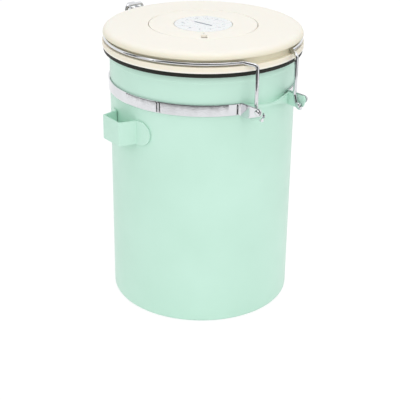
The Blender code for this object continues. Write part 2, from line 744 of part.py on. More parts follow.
def lid_cap():
    """Outer lid shell with a round recess for the dials and a spigot into the neck."""
    spigot_inner = SPIGOT_RADIUS - SPIGOT_WALL
    roof = RECESS_TOP - CAP_WALL
    floor_underside = RECESS_BOTTOM - RECESS_FLOOR
    bore = STEM_RADIUS + SEAT_GAP
    profile = [
        (SPIGOT_RADIUS, CAP_BOTTOM),
        *cap_edge(),
        (RECESS_RADIUS, RECESS_TOP),
        (RECESS_RADIUS, RECESS_BOTTOM),
        (bore, RECESS_BOTTOM),
        (bore, floor_underside),
        (RECESS_RADIUS + CAP_WALL, floor_underside),
        (RECESS_RADIUS + CAP_WALL, roof),
        (spigot_inner, roof),
        (spigot_inner, CAP_BOTTOM - SPIGOT_DEPTH),
        (SPIGOT_RADIUS, CAP_BOTTOM - SPIGOT_DEPTH),
    ]
    return turned("lid_cap", profile, MOULDED)


def date_plate():
    """Thin printed ring on the recess floor, seen through the window of the day ring."""
    bottom = RECESS_BOTTOM + SEAT_GAP
    outer = RECESS_RADIUS - SEAT_GAP
    profile = [
        (DATE_PLATE_BORE, bottom),
        (outer, bottom),
        (outer, bottom + DATE_PLATE_THICKNESS),
        (DATE_PLATE_BORE, bottom + DATE_PLATE_THICKNESS),
    ]
    return turned("date_plate", profile, (WHITE, 0.5, 0))


def day_ring():
    """Turning ring with a window on the day numbers and a lip under the month disc."""
    bottom = RECESS_BOTTOM + DATE_PLATE_THICKNESS + 2 * SEAT_GAP
    top = bottom + DAY_RING_THICKNESS
    outer = RECESS_RADIUS - DAY_RING_INSET
    inner = MONTH_RADIUS + MONTH_GAP
    lip = inner - DAY_LIP_WIDTH
    profile = [
        (lip, bottom),
        (outer, bottom),
        (outer, top - DIAL_EDGE),
        (outer - DIAL_EDGE, top),
        (inner + DIAL_EDGE, top),
        (inner, top - DIAL_EDGE),
        (inner, bottom + DAY_LIP_THICKNESS),
        (lip, bottom + DAY_LIP_THICKNESS),
    ]
    ring = turned("day_ring", profile, MOULDED)
    far = outer - WINDOW_EDGE
    near = far - WINDOW_LENGTH
    side = WINDOW_WIDTH / 2
    turn = Matrix.Rotation(math.radians(WINDOW_AZIMUTH), 3, "Z")
    corners = [(-side, near), (side, near), (side, far), (-side, far)]
    low = bottom - CUT_OVERRUN
    points = [turn @ Vector((across, -out, low)) for across, out in corners]
    travel = (0, 0, DAY_RING_THICKNESS + 2 * CUT_OVERRUN)
    combine(ring, extruded("window_cut", points, travel, MOULDED), "DIFFERENCE")
    return ring


def month_disc():
    """Round disc with a hub over the lip of the day ring and a stem through the cap."""
    ring_bottom = RECESS_BOTTOM + DATE_PLATE_THICKNESS + 2 * SEAT_GAP
    top = ring_bottom + DAY_RING_THICKNESS
    skirt = ring_bottom + DAY_LIP_THICKNESS + SEAT_GAP
    hub = MONTH_RADIUS + MONTH_GAP - DAY_LIP_WIDTH - SEAT_GAP
    clip_bottom = RECESS_BOTTOM - RECESS_FLOOR - SEAT_GAP - CLIP_THICKNESS
    stem_end = clip_bottom - STEM_TAIL
    profile = [
        (0, stem_end),
        (STEM_RADIUS, stem_end),
        (STEM_RADIUS, ring_bottom),
        (hub, ring_bottom),
        (hub, skirt),
        (MONTH_RADIUS, skirt),
        (MONTH_RADIUS, top - DIAL_EDGE),
        (MONTH_RADIUS - DIAL_EDGE, top),
        (0, top),
    ]
    return turned("month_disc", profile, (WHITE, 0.35, 0), ROUND_SEGMENTS)


def dial_clip():
    """Push-on washer that holds the stem of the month disc under the cap."""
    top = RECESS_BOTTOM - RECESS_FLOOR - SEAT_GAP
    bore = STEM_RADIUS + SEAT_GAP
    profile = [
        (bore, top - CLIP_THICKNESS),
        (CLIP_RADIUS, top - CLIP_THICKNESS),
        (CLIP_RADIUS, top),
        (bore, top),
    ]
    return turned("dial_clip", profile, (STEEL, 0.3, 1), SMALL_SEGMENTS * 2)


def valve_filter():
    """White filter disc above the valve."""
    top = FILTER_BOTTOM + FILTER_THICKNESS
    profile = [(0, FILTER_BOTTOM), (FILTER_RADIUS, FILTER_BOTTOM), (FILTER_RADIUS, top), (0, top)]
    return turned("valve_filter", profile, (PAPER, 0.9, 0), SMALL_SEGMENTS * 2)


def valve_disc():
    """Black silicone disc with a raised middle, which lets gas out one way."""
    profile = [
        (0, VALVE_BOTTOM - VALVE_BOSS_HEIGHT + SEAT_GAP),
        (VALVE_BOSS_RADIUS - SEAT_GAP, VALVE_BOTTOM - VALVE_BOSS_HEIGHT + SEAT_GAP),
        (VALVE_BOSS_RADIUS, VALVE_BOTTOM),
        (VALVE_RADIUS, VALVE_BOTTOM),
        (VALVE_RADIUS, VALVE_BOTTOM + VALVE_THICKNESS),
        (0, VALVE_BOTTOM + VALVE_THICKNESS),
    ]
    return turned("valve_disc", profile, RUBBER, SMALL_SEGMENTS * 2)


def valve_cover():
    """Vented snap-in cover that holds the valve and filter in their well."""
    top = PLUG_BOTTOM - SEAT_GAP
    bottom = top - VALVE_COVER_THICKNESS
    wall_outer = VALVE_WELL_RADIUS - SEAT_GAP
    wall_inner = wall_outer - VALVE_COVER_WALL
    rim = VALVE_WELL_RADIUS + VALVE_COVER_RIM
    wall_top = VALVE_WELL_TOP - SEAT_GAP
    profile = [
        (0, bottom),
        (rim - SEAT_GAP, bottom),
        (rim, bottom + SEAT_GAP),
        (rim, top),
        (wall_outer, top),
        (wall_outer, wall_top),
        (wall_inner, wall_top),
        (wall_inner, top),
        (0, top),
    ]
    cover = turned("valve_cover", profile, (WHITE, 0.5, 0), SMALL_SEGMENTS * 2)
    starts = [
        on_circle(VENT_CIRCLE_RADIUS, 360 * vent / VENT_COUNT, bottom - CUT_OVERRUN)
        for vent in range(VENT_COUNT)
    ]
    travel = (0, 0, VALVE_COVER_THICKNESS + 2 * CUT_OVERRUN)
    combine(cover, joined_rods("cover_holes", starts, travel, VENT_RADIUS), "DIFFERENCE")
    return cover


def build():
    clear_scene()
    body_shell()
    base_plate()
    band_strap()
    hinge_bracket()
    scoop_hook()
    pivot_pin("pivot_pin_left", -1)
    pivot_pin("pivot_pin_right", 1)
    hinge_arch()

    hinge = joint_axis("lid_hinge_axis", (0, HINGE_OUT, HINGE_HEIGHT))
    hang_on(hinge, lid_cap(), lid_base(), lid_gasket(), ring_wire(), date_plate())
    hang_on(hinge, valve_filter(), valve_disc(), valve_cover())

    dials = joint_axis("dial_axis", (0, 0, RECESS_BOTTOM))
    hang_on(dials, day_ring(), month_disc(), dial_clip())

    pivot = joint_axis("lever_axis", (0, -PIVOT_OUT, PIVOT_HEIGHT))
    hang_on(pivot, latch_lever(), crank_pin("crank_pin_left", -1), crank_pin("crank_pin_right", 1))


build()
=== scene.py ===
import math

import bmesh
import bpy
from mathutils import Matrix, Vector


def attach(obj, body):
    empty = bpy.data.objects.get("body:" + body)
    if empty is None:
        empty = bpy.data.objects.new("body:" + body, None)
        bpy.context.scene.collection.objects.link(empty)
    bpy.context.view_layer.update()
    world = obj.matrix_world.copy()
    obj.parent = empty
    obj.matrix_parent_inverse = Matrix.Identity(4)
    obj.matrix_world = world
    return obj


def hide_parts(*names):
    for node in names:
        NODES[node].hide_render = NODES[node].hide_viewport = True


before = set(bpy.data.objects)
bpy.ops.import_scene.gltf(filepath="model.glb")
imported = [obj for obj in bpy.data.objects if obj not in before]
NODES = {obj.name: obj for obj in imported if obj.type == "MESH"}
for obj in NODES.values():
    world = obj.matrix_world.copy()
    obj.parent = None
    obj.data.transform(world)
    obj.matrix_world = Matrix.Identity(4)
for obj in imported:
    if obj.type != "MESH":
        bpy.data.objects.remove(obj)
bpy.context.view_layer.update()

MM = 0.001

# Sizes of the can. As far as the stage, lengths are in millimetres and angles in degrees
BODY_RADIUS = 58.5
BODY_WALL = 0.8
BODY_TOP = 164.8
BASE_CORNER = 2.4
FOOT_RADIUS = 52.1
WALL_HEIGHTS = (12, 40, 80, 120)
JOGGLE_BOTTOM = 160.2
JOGGLE_TOP = 161.0
RIM_RADIUS = 58.85
RIM_CORNER = 0.4
RIM_INSET = 0.6
BARE_MARGIN = 0.15
JOGGLE_CURVE = [
    (BODY_RADIUS, JOGGLE_BOTTOM - 0.3), (BODY_RADIUS + 0.04, JOGGLE_BOTTOM),
    (RIM_RADIUS - 0.17, (JOGGLE_BOTTOM + JOGGLE_TOP) / 2),
    (RIM_RADIUS - 0.02, JOGGLE_TOP - 0.1), (RIM_RADIUS, JOGGLE_TOP + 0.2),
]

# Sizes of the band with its ears
BAND_INNER = 58.8
BAND_SHEET = 0.8
BAND_BOTTOM = 140.6
BAND_TOP = 147.6
BAND_BEND = 1.5
BAND_SOFT = 0.18
BAND_STEPS = 150
EAR_MIDDLE = 19.05
EAR_TIP = 2.4
EAR_LOW_START = (62.0, 139.8)
EAR_HIGH_START = (56.1, 148.2)
EAR_ROUND_START = 0.6
EAR_SPREAD_START = 55.6
EAR_SPREAD = 1.6
EAR_MARGIN = 1.2
END_INSET = 0.03
LEAST_BULGE = 0.02

# Sizes of the scoop hook
HOOK_AZIMUTH = -94.0
HOOK_SHEET = 1.0
HOOK_LIFT = 0.8
HOOK_END = 21.4
HOOK_FOLD = 11.15
HOOK_REACH = 10.5
HOOK_FRONT = 8.7
HOOK_BEND = 0.9
HOOK_SOFT = 0.2
HOOK_MIDDLE = 124.5
HOOK_HALF = 7.5
HOOK_LEAST = 0.3
HOOK_STEPS = 26

# Places and sizes of the latch's rivets and studs
PIVOT = (70.9, 146.0)
CRANK = (70.1, 142.9)
RIVET_SHANK = 1.1
RIVET_HEAD = 1.9
RIVET_CORNER = 0.7
RIVET_START = 17.6
RIVET_SEAT = 19.85
RIVET_END = 20.65
STUD_NECK = 0.8
STUD_RADIUS = 1.6
STUD_CORNER = 0.6
STUD_START = 13.75
STUD_SEAT = 14.55
STUD_END = 18.1

# Sizes of the lever
LEVER_INNER = 61.0
LEVER_SHEET = 1.0
LEVER_BOTTOM = 139.6
LEVER_TOP = 147.5
LEVER_BEND = 1.0
LEVER_STEPS = 60
DISH_BOTTOM = 143.3
DISH_TOP = 144.8
DISH_SHARE = 0.15
CHEEK_SHEET = 0.8
CHEEK_SOFT = 0.16
CHEEK_MIDDLE = 17.85
CHEEK_TIP = 2.2
CHEEK_LOBE = 2.0
CHEEK_MARGIN = 0.3
CHEEK_LOW_START = 65.8
CHEEK_HIGH_START = 64.4
LOBE_START = CRANK[0] - 0.7
LOBE_END = (CRANK[0] + 1.93, CRANK[1] - 0.5)
TIP_START = (PIVOT[0] + 2.12, PIVOT[1] - 0.57)
TIP_TOP = (PIVOT[0] + 0.2, PIVOT[1] + CHEEK_TIP)

# Sizes of the wires
WIRE = 1.14
WIRE_BEND = 2.2
HINGE = (70.0, 178.3)
LAP = 2.6
ARCH_LEG = 6.5
ARCH_KNEE = 21.5
ARCH_ANKLE = 28.0
SLEEVE_OUT = 62.25
SLEEVE_FOOT = 1.1
CURL_LEG = 2.9
CURL_START = -50
CURL_FOOT = 66.3
RING_REAR = 62.9
RING_RADIUS = 61.05
RING_HEIGHT = 173.1
RING_EXIT_AZIMUTH = 19.0
RING_STEPS = 80
LEG_X = 16.0
LEG_OUT = 65.85
LEG_TOP = 172.3
LEG_SLANT_TOP = 148.0
LEG_HOOK_RADIUS = 2.25
HOOK_FOOT = 1.3

# Sizes of the lid
CAP_RADIUS = 62.4
CAP_BOTTOM = 175.6
CAP_EDGE = 4.3
CAP_REACH = 7.8
CAP_POWER = 2.6
CAP_STEPS = 28
CAP_CORNER = 0.35
CAP_CEILING = 178.0
CROWN_TOP = 180.2
CROWN_SLOPE = [(45, 180.03), (36, CROWN_TOP - 0.02)]
RECESS_RADIUS = 34.2
RECESS_BOTTOM = 177.5
RECESS_SHELF = 36.4
RECESS_UNDER = 175.5
STEM_HOLE = 3.4
SPIGOT_OUTER = 53.7
SPIGOT_INNER = 51.8
SPIGOT_BOTTOM = 172.7
NECK_RADIUS = 59.6
NECK_INNER = 54.0
NECK_TOP = 175.3
FLANGE_RADIUS = 62.8
FLANGE_BOTTOM = 167.7
FLANGE_TOP = 171.4
PLUG_RADIUS = 54.5
PLUG_INNER = 52.2
PLUG_BOTTOM = 160.2
PLUG_FLOOR = 162.2
PLUG_LIP = 1.2
PLUG_LIP_TOP = 164.8
SEAT_RADIUS = 15.95
SEAT_OUTER = 18.2
SEAT_BOTTOM = 165.1
SEAT_TOP = 167.1
BASE_ROUND = 0.55
GASKET_RADIUS = 62.2
GASKET_BOTTOM = 165.1
GASKET_TOP = 167.4
GASKET_GAP = 0.3
GASKET_ROUND = 0.5

# Sizes of the valve
VENT_COUNT = 6
VENT_RADIUS = 1.3
VENT_CIRCLE = 7.5
VENT_MARGIN = 0.6
COVER_RIM = 18.55
COVER_BOTTOM = 159.1
COVER_FACE = 159.9
COVER_TUBE = (14.75, 15.65)
COVER_TOP = 164.8
COVER_ROUND = 0.2
FLAP_ROUND = 0.25
FLAP_OUTLINE = [(0, 160.5), (9.7, 160.5), (10.0, 161.3), (15.0, 161.3), (15.0, 162.6), (0, 162.6)]

# Sizes of the dials
DIAL_TOP = 180.1
DIAL_BOTTOM = 178.5
DIAL_CORNER = 0.22
DIAL_TURN = 9.0
DAY_OUTER = 33.8
DAY_INNER = 15.2
DAY_LIP = 18.4
DAY_LIP_TOP = 179.1
MONTH_RADIUS = 18.06
MONTH_HUB = 14.9
MONTH_EDGE_BOTTOM = 179.4
STEM_RADIUS = 3.1
STEM_BOTTOM = 173.6
WINDOW_AZIMUTH = -40.0
WINDOW_HALF = 1.9
WINDOW_REACH = (24.8, 32.4)
WINDOW_CORNER = 0.5
WINDOW_CUT = (177.9, 3)
POINTER = [(-0.9, -21.0), (0.9, -21.0), (0, -22.6)]
BAR_HALF = 6.4
BAR_CORNER = 0.75
MONTHS = 12
DAYS = 31
DATE_SHOWN = 17
PRINT_THICKNESS = 0.02
TEXT_THICKNESS = 0.012

# Size, circle and height of the printed numbers
MONTH_TEXT = (2.7, 12.8, DIAL_TOP)
DATE_TEXT = (2.8, 28.6, 178.2)

# Smoothing and rounding
SMOOTH_ANGLE = 35.0
FOLD_ANGLE = 50.0
TEXT_ANGLE = 30.0
SLIGHT_CORNER = 150.0
GENTLE_TURN = 25.0
CORNER_SHARE = 0.45
BEND_SHARE = 0.49
WELD = 0.002
LONG_RUN = 3
RUN_INSET = 0.3
STRAIGHT_LIMIT = 0.05
FINE_STEP = 0.3
COARSE_STEP = 4.0
STRIP_SHARES = (0, 0.08, 0.5, 0.92, 1)
LARGE_SEGMENTS = 192
DIAL_SEGMENTS = 144
VALVE_SEGMENTS = 96
PIN_SEGMENTS = 36
VENT_SEGMENTS = 28

# Stage and camera, in metres and degrees. The lens is in millimetres
WORLD_LIGHT = 0.74
BACKDROP_LIGHT = 1.03
FLOOR_SIZE = 6
FLOOR_DROP = 0.0001
FLOOR_SHARE = 0.8
FLOOR_LIGHT = 1.08
SHEET_HEIGHT = 0.0004
SHEET_STEP = 8
LAMP_AIM = Vector((0, 0, 0.10))
VIEW_AZIMUTH = -41.3
CAMERA_REACH = 0.62998
CAMERA_HEIGHT = 0.35317
CAMERA_PITCH = 25.018
CAMERA_SWING = 0.058
CAMERA_ROLL = 0.715
LENS = 93.35
SENSOR = 36


def linear(code):
    """Scene-linear color of an sRGB hex code."""
    color = []
    for place in (0, 2, 4):
        part = int(code[place:place + 2], 16) / 255
        color.append(((part + 0.055) / 1.055) ** 2.4 if part > 0.04 else part / 12.92)
    return (*color, 1.0)


# Materials

# Most of a noise lies between these two values
NOISE_LOW = 0.3
NOISE_HIGH = 0.7


class Finish:
    """A Principled material that is built up from noise in the object's own coordinates."""

    def __init__(self, name, color, roughness, metallic=0.0):
        self.material = bpy.data.materials.new(name)
        self.material.use_nodes = True
        self.tree = self.material.node_tree
        self.shader = self.tree.nodes["Principled BSDF"]
        self.shader.inputs["Base Color"].default_value = color
        self.shader.inputs["Roughness"].default_value = roughness
        self.shader.inputs["Metallic"].default_value = metallic
        self.place = self.tree.nodes.new("ShaderNodeTexCoord").outputs["Object"]
        self.height = None

    def join(self, source, target):
        self.tree.links.new(source, target)

    def noise(self, scale, detail, stretch=(1, 1, 1)):
        """Noise in all three directions."""
        mapping = self.tree.nodes.new("ShaderNodeMapping")
        mapping.inputs["Scale"].default_value = stretch
        self.join(self.place, mapping.inputs["Vector"])
        node = self.tree.nodes.new("ShaderNodeTexNoise")
        node.inputs["Scale"].default_value = scale
        node.inputs["Detail"].default_value = detail
        self.join(mapping.outputs["Vector"], node.inputs["Vector"])
        return node.outputs["Fac"]

    def rings(self, scale):
        """Noise that changes only with distance from the Z axis, as turned metal has."""
        flat = self.tree.nodes.new("ShaderNodeMapping")
        flat.inputs["Scale"].default_value = (1, 1, 0)
        self.join(self.place, flat.inputs["Vector"])
        length = self.tree.nodes.new("ShaderNodeVectorMath")
        length.operation = "LENGTH"
        self.join(flat.outputs["Vector"], length.inputs[0])
        node = self.tree.nodes.new("ShaderNodeTexNoise")
        node.noise_dimensions = "1D"
        node.inputs["Scale"].default_value = scale
        node.inputs["Detail"].default_value = 4.0
        self.join(length.outputs["Value"], node.inputs["W"])
        return node.outputs["Fac"]

    def colors(self, factor, first, second):
        """Base color between two colors."""
        ramp = self.tree.nodes.new("ShaderNodeValToRGB")
        ramp.color_ramp.elements[0].position = NOISE_LOW
        ramp.color_ramp.elements[0].color = first
        ramp.color_ramp.elements[1].position = NOISE_HIGH
        ramp.color_ramp.elements[1].color = second
        self.join(factor, ramp.inputs["Fac"])
        self.join(ramp.outputs["Color"], self.shader.inputs["Base Color"])

    def by_height(self, stops, factor):
        """Base color from (height, color) stops, which paint light and shade by height, a little darker
        where the factor is low.
        """
        split = self.tree.nodes.new("ShaderNodeSeparateXYZ")
        self.join(self.place, split.inputs["Vector"])
        low, high = stops[0][0], stops[-1][0]
        reach = self.tree.nodes.new("ShaderNodeMapRange")
        reach.inputs["From Min"].default_value = low * MM
        reach.inputs["From Max"].default_value = high * MM
        self.join(split.outputs["Z"], reach.inputs["Value"])
        ramp = self.tree.nodes.new("ShaderNodeValToRGB")
        ramp.color_ramp.interpolation = "EASE"
        ramp.color_ramp.elements[0].color = stops[0][1]
        ramp.color_ramp.elements[1].color = stops[-1][1]
        for height, color in stops[1:-1]:
            stop = ramp.color_ramp.elements.new((height - low) / (high - low))
            stop.color = color
        self.join(reach.outputs["Result"], ramp.inputs["Fac"])
        shade = self.tree.nodes.new("ShaderNodeValToRGB")
        shade.color_ramp.elements[0].color = (0.97, 0.97, 0.96, 1)
        shade.color_ramp.elements[1].color = (1, 1, 1, 1)
        self.join(factor, shade.inputs["Fac"])
        mix = self.tree.nodes.new("ShaderNodeMixRGB")
        mix.blend_type = "MULTIPLY"
        mix.inputs["Fac"].default_value = 1.0
        self.join(ramp.outputs["Color"], mix.inputs["Color1"])
        self.join(shade.outputs["Color"], mix.inputs["Color2"])
        self.join(mix.outputs["Color"], self.shader.inputs["Base Color"])

    def roughness(self, factor, low, high):
        """Roughness between two values."""
        node = self.tree.nodes.new("ShaderNodeMapRange")
        node.inputs["From Min"].default_value = NOISE_LOW
        node.inputs["From Max"].default_value = NOISE_HIGH
        node.inputs["To Min"].default_value = low
        node.inputs["To Max"].default_value = high
        self.join(factor, node.inputs["Value"])
        self.join(node.outputs["Result"], self.shader.inputs["Roughness"])

    def bump(self, factor, depth, strength):
        """Relief on top of any relief set before. The depth is in metres."""
        node = self.tree.nodes.new("ShaderNodeBump")
        node.inputs["Strength"].default_value = strength
        node.inputs["Distance"].default_value = depth
        self.join(factor, node.inputs["Height"])
        if self.height:
            self.join(self.height, node.inputs["Normal"])
        self.height = node.outputs["Normal"]
        self.join(self.height, self.shader.inputs["Normal"])


def painted_finish():
    """Satin powder coat with the faint orange peel of baked paint."""
    finish = Finish("mint_powder_coat", linear("c9eedd"), 0.42)
    finish.shader.inputs["Sheen Weight"].default_value = 0.22
    finish.shader.inputs["Sheen Roughness"].default_value = 0.3
    finish.colors(finish.noise(22, 4), linear("c6ebda"), linear("ccf0e0"))
    finish.roughness(finish.noise(160, 3), 0.36, 0.47)
    finish.bump(finish.noise(900, 2), 0.00004, 0.35)
    finish.bump(finish.noise(4200, 2), 0.00001, 0.30)
    return finish.material


def inner_finish():
    """Bare drawn steel inside the can, with fine lines round it."""
    finish = Finish("drawn_steel", linear("c9cac9"), 0.3, 1.0)
    finish.colors(finish.noise(30, 4), linear("bfc0bf"), linear("d2d3d2"))
    finish.roughness(finish.noise(900, 3, (0.1, 0.1, 4)), 0.22, 0.38)
    finish.bump(finish.noise(1500, 3, (0.05, 0.05, 3)), 0.00001, 0.4)
    return finish.material


def grained(finish, low, high):
    """Give a plastic its fine spark-eroded grain."""
    finish.roughness(finish.noise(300, 3), low, high)
    finish.bump(finish.noise(2600, 3), 0.00003, 0.25)
    finish.shader.inputs["Subsurface Weight"].default_value = 0.04
    finish.shader.inputs["Subsurface Scale"].default_value = 0.001
    return finish.material


def moulded_finish(name, first, second, low, high):
    """Moulded plastic between two tones."""
    finish = Finish(name, linear(first), (low + high) / 2)
    finish.colors(finish.noise(35, 4), linear(first), linear(second))
    return grained(finish, low, high)


def painted_light_finish(name, plain, stops, low, high):
    """Moulded plastic with light and shade painted into its tone by height, from (height, color code)
    stops.
    """
    finish = Finish(name, linear(plain), (low + high) / 2)
    finish.by_height([(height, linear(code)) for height, code in stops], finish.noise(35, 4))
    return grained(finish, low, high)


def chrome_finish():
    """Polished plate with faint wipe marks and a slight waviness."""
    finish = Finish("bright_chrome", linear("dcdde0"), 0.08, 1.0)
    finish.colors(finish.noise(60, 4), linear("d5d6d9"), linear("e4e5e8"))
    finish.roughness(finish.noise(420, 5, (1, 1, 3)), 0.03, 0.08)
    finish.bump(finish.noise(260, 3), 0.00002, 0.2)
    finish.bump(finish.noise(3000, 4), 0.000002, 0.3)
    return finish.material


def brushed_finish():
    """Pressed steel with turned rings."""
    finish = Finish("turned_steel", linear("bfc1c3"), 0.33, 1.0)
    rings = finish.rings(1800)
    finish.colors(finish.noise(45, 4), linear("b4b6b8"), linear("c9cbcd"))
    finish.roughness(rings, 0.26, 0.42)
    finish.bump(rings, 0.00001, 0.5)
    return finish.material


def rubber_finish():
    """Matt black silicone."""
    finish = Finish("black_silicone", linear("1b1d14"), 0.62)
    finish.colors(finish.noise(80, 4), linear("16180f"), linear("1f2118"))
    finish.roughness(finish.noise(500, 3), 0.55, 0.72)
    finish.bump(finish.noise(2200, 3), 0.00003, 0.4)
    return finish.material


def felt_finish():
    """Pressed fibre with crossed strands."""
    finish = Finish("filter_felt", linear("e8e8e4"), 0.95)
    finish.colors(finish.noise(1400, 6, (1, 4, 1)), linear("d9d9d3"), linear("f0f0ec"))
    finish.bump(finish.noise(1500, 5, (4, 1, 1)), 0.00012, 0.7)
    finish.bump(finish.noise(1500, 5, (1, 4, 1)), 0.00012, 0.7)
    return finish.material


def ink_finish(name, code):
    """Printing ink."""
    finish = Finish(name, linear(code), 0.55)
    finish.roughness(finish.noise(900, 3), 0.48, 0.62)
    finish.bump(finish.noise(3000, 3), 0.000008, 0.4)
    return finish.material


MINT = painted_finish()
STEEL = inner_finish()
CREAM = moulded_finish("cream_plastic", "f6f2e7", "f9f5eb", 0.36, 0.46)
# Painted shade: the cap's colour darkens and yellows towards its lower edge, which turns away from the
# light above.
CAP_CREAM_PAINTED_SHADE = painted_light_finish("cap_cream_painted_shade", "f6f2e7", (
    (CAP_BOTTOM, "e6dfc8"), (CAP_BOTTOM + 1.6, "eee8d5"), (CAP_BOTTOM + 4.0, "f8f4ea"),
), 0.36, 0.46)
# Painted light: the bright band along the flange's lower edge is a painted highlight, and the darker,
# yellower neck above the flange is painted shade in the groove under the cap.
PALE_CREAM_PAINTED_LIGHT = painted_light_finish("pale_cream_painted_light", "f5ecda", (
    (FLANGE_BOTTOM - 0.3, "f7efdd"), (FLANGE_BOTTOM, "fffdf6"), (FLANGE_BOTTOM + 1.0, "fdf7eb"),
    (FLANGE_BOTTOM + 1.7, "f7efdd"), (FLANGE_TOP - 0.2, "f7efdd"), (FLANGE_TOP + 0.3, "e8e3cc"),
    (NECK_TOP, "e6e0c9"),
), 0.38, 0.48)
WHITE = moulded_finish("white_dial_plastic", "ebeff1", "f0f2f2", 0.24, 0.34)
PLATE = moulded_finish("date_plate_plastic", "fbf8f0", "fdfbf5", 0.40, 0.50)
CHROME = chrome_finish()
BRUSHED = brushed_finish()
RUBBER = rubber_finish()
FELT = felt_finish()
GREY_INK = ink_finish("grey_print", "7d8895")
PALE_INK = ink_finish("pale_print", "a9a79c")


# Shapes

def finish_mesh(name, shape, material, angle=SMOOTH_ANGLE):
    """Turn a bmesh into a smooth shaded object whose edges above an angle stay sharp."""
    bmesh.ops.recalc_face_normals(shape, faces=shape.faces)
    mesh = bpy.data.meshes.new(name)
    shape.to_mesh(mesh)
    shape.free()
    mesh.shade_smooth()
    mesh.set_sharp_from_angle(angle=math.radians(angle))
    mesh.materials.append(material)
    piece = bpy.data.objects.new(name, mesh)
    bpy.context.scene.collection.objects.link(piece)
    return piece


def register(piece, body, slot_name, *nodes):
    """Tell the frame what the piece rides on, and hide the parts that it stands for. The slot name is not
    used.
    """
    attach(piece, body)
    if nodes:
        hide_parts(*nodes)


def arc(centre, radius, first, last, steps):
    """Points on an arc, angles in degrees."""
    across, up = centre
    angles = [math.radians(first + (last - first) * step / steps) for step in range(steps + 1)]
    return [(across + radius * math.cos(angle), up + radius * math.sin(angle)) for angle in angles]


def eased(outline, radius, steps):
    """Round every corner of a closed outline of (radius, height) points by a small radius."""
    points = []
    count = len(outline)
    for index, corner in enumerate(outline):
        here = Vector(corner)
        inward = Vector(outline[index - 1]) - here
        onward = Vector(outline[(index + 1) % count]) - here
        turn = inward.angle(onward) if inward.length and onward.length else math.pi
        if corner[0] == 0 or turn > math.radians(SLIGHT_CORNER):
            points.append(corner)
            continue
        longest = CORNER_SHARE * min(inward.length, onward.length)
        run = min(radius / math.tan(turn / 2), longest)
        start = here + inward.normalized() * run
        end = here + onward.normalized() * run
        for step in range(steps + 1):
            share = step / steps
            curve = start * (1 - share) ** 2 + here * 2 * share * (1 - share) + end * share ** 2
            points.append(tuple(curve))
    return points


def turned(name, profile, material, segments):
    """Turn a closed outline of (radius, height) points in millimetres about the Z axis."""
    shape = bmesh.new()
    points = [shape.verts.new((radius * MM, 0, height * MM)) for radius, height in profile]
    edges = [shape.edges.new(pair) for pair in zip(points, points[1:] + points[:1])]
    bmesh.ops.spin(
        shape, geom=points + edges, cent=(0, 0, 0), axis=(0, 0, 1),
        angle=math.tau, steps=segments, use_merge=True,
    )
    bmesh.ops.remove_doubles(shape, verts=shape.verts, dist=WELD * MM)
    bmesh.ops.dissolve_degenerate(shape, dist=WELD * MM, edges=shape.edges)
    return finish_mesh(name, shape, material)


def settle(piece, angle):
    """Apply the modifiers of a piece to its mesh and shade it again."""
    graph = bpy.context.evaluated_depsgraph_get()
    mesh = bpy.data.meshes.new_from_object(piece.evaluated_get(graph))
    piece.modifiers.clear()
    piece.data = mesh
    mesh.shade_smooth()
    mesh.set_sharp_from_angle(angle=math.radians(angle))


def punch(piece, cutter):
    """Cut a closed shape out of a piece."""
    step = piece.modifiers.new("cut", "BOOLEAN")
    step.operation = "DIFFERENCE"
    step.solver = "EXACT"
    step.object = cutter
    settle(piece, SMOOTH_ANGLE)
    bpy.data.objects.remove(cutter)


def vent_cutter(low, high, material):
    """Round bars that cut the ring of vents through a floor with its faces at two heights."""
    shape = bmesh.new()
    for index in range(VENT_COUNT):
        spot = on_circle(VENT_CIRCLE, 360 * index / VENT_COUNT, (low + high) / 2)
        bmesh.ops.create_cone(
            shape, cap_ends=True, segments=VENT_SEGMENTS,
            radius1=VENT_RADIUS * MM, radius2=VENT_RADIUS * MM,
            depth=(high - low + 2 * VENT_MARGIN) * MM, matrix=Matrix.Translation(spot * MM),
        )
    return finish_mesh("hole_cutter", shape, material)


def slab(name, outline, azimuth, bottom, thickness, material):
    """Flat shape from (x, y) points in millimetres, turned about the Z axis."""
    turn = Matrix.Rotation(math.radians(azimuth), 3, "Z")
    shape = bmesh.new()
    low = [shape.verts.new(turn @ Vector((x * MM, y * MM, bottom * MM))) for x, y in outline]
    pushed = bmesh.ops.extrude_face_region(shape, geom=[shape.faces.new(low)])
    moved = [item for item in pushed["geom"] if isinstance(item, bmesh.types.BMVert)]
    bmesh.ops.translate(shape, verts=moved, vec=(0, 0, thickness * MM))
    return finish_mesh(name, shape, material)


def on_circle(radius, azimuth, height):
    """Place at a distance and direction from the Z axis. Azimuth 0 is the side of the latch."""
    angle = math.radians(azimuth)
    return Vector((radius * math.sin(angle), -radius * math.cos(angle), height))


def bent(corners, bend, steps):
    """Round the corners of a route of 3D points, and keep its gentle turns as they are."""
    route = [corners[0]]
    for before, corner, after in zip(corners, corners[1:], corners[2:]):
        arriving = (corner - before).normalized()
        leaving = (after - corner).normalized()
        turn = arriving.angle(leaving)
        if turn < math.radians(GENTLE_TURN):
            route.append(corner)
            continue
        longest = BEND_SHARE * min((corner - before).length, (after - corner).length)
        run = min(bend * math.tan(turn / 2), longest)
        middle = corner + (leaving - arriving).normalized() * run / math.sin(turn / 2)
        spoke = corner - arriving * run - middle
        for step in range(steps + 1):
            turned_by = Matrix.Rotation(turn * step / steps, 3, arriving.cross(leaving))
            route.append(middle + turned_by @ spoke)
    route.append(corners[-1])
    return route


def steadied(route):
    """Add a point near each end of the long straight runs, which keeps their shading straight."""
    points = [route[0]]
    for near, far in zip(route, route[1:]):
        run = (far - near).length
        if run > LONG_RUN:
            points += [near.lerp(far, RUN_INSET / run), near.lerp(far, 1 - RUN_INSET / run)]
        points.append(far)
    return points


